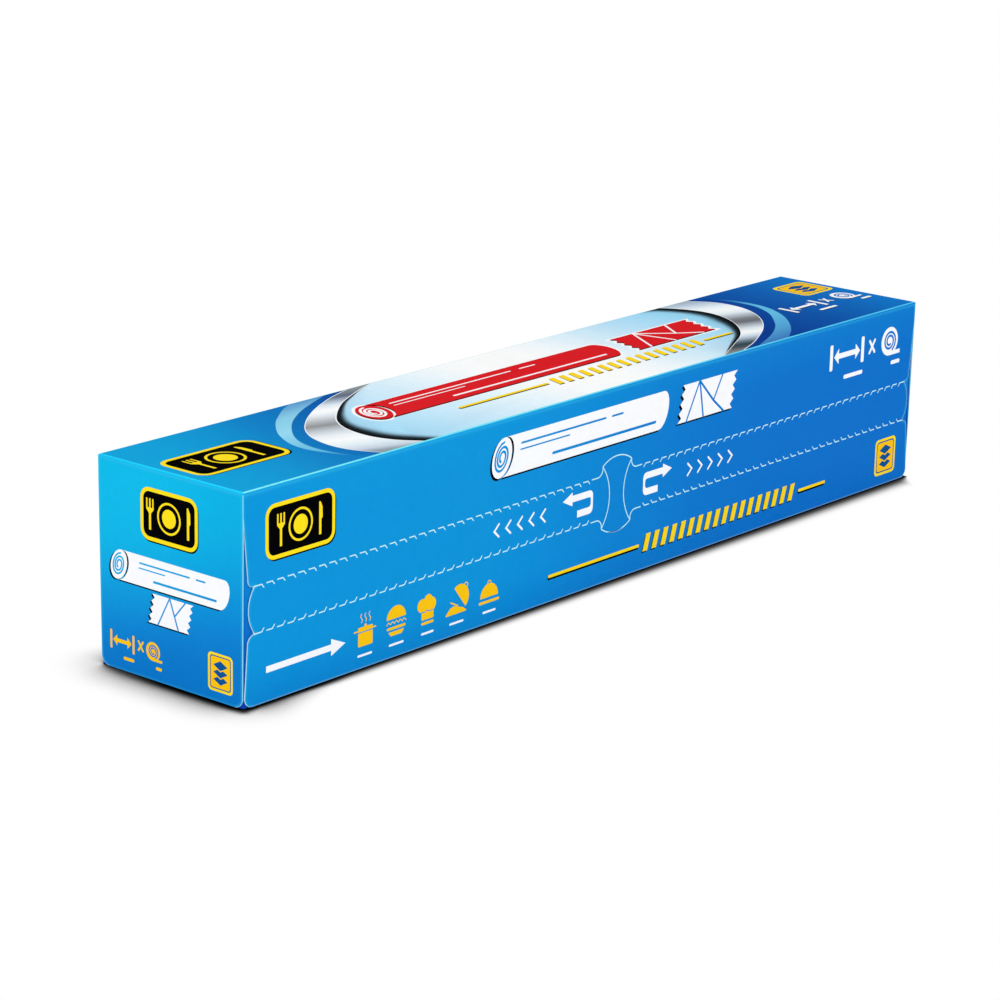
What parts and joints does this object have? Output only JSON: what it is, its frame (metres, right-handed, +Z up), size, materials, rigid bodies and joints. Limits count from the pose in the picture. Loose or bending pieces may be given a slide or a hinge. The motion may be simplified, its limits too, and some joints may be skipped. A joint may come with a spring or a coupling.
{
  "type": "boxed aluminium foil roll",
  "caption": "Long sealed folding-board carton for a kitchen foil roll, with a perforated tear strip and thumb tab across the front and glued end flaps.",
  "frame": {"origin": "centre of the carton's base, on the surface it stands on", "axes": "+X along the carton, the front with the tear strip faces -Y, +Z up"},
  "size_m": [0.31, 0.054, 0.059],
  "materials": {
    "printed_board": "gloss-coated printed folding board"
  },
  "bodies": {
    "root": {"foil_carton": "printed_board"}
  },
  "joints": []
}
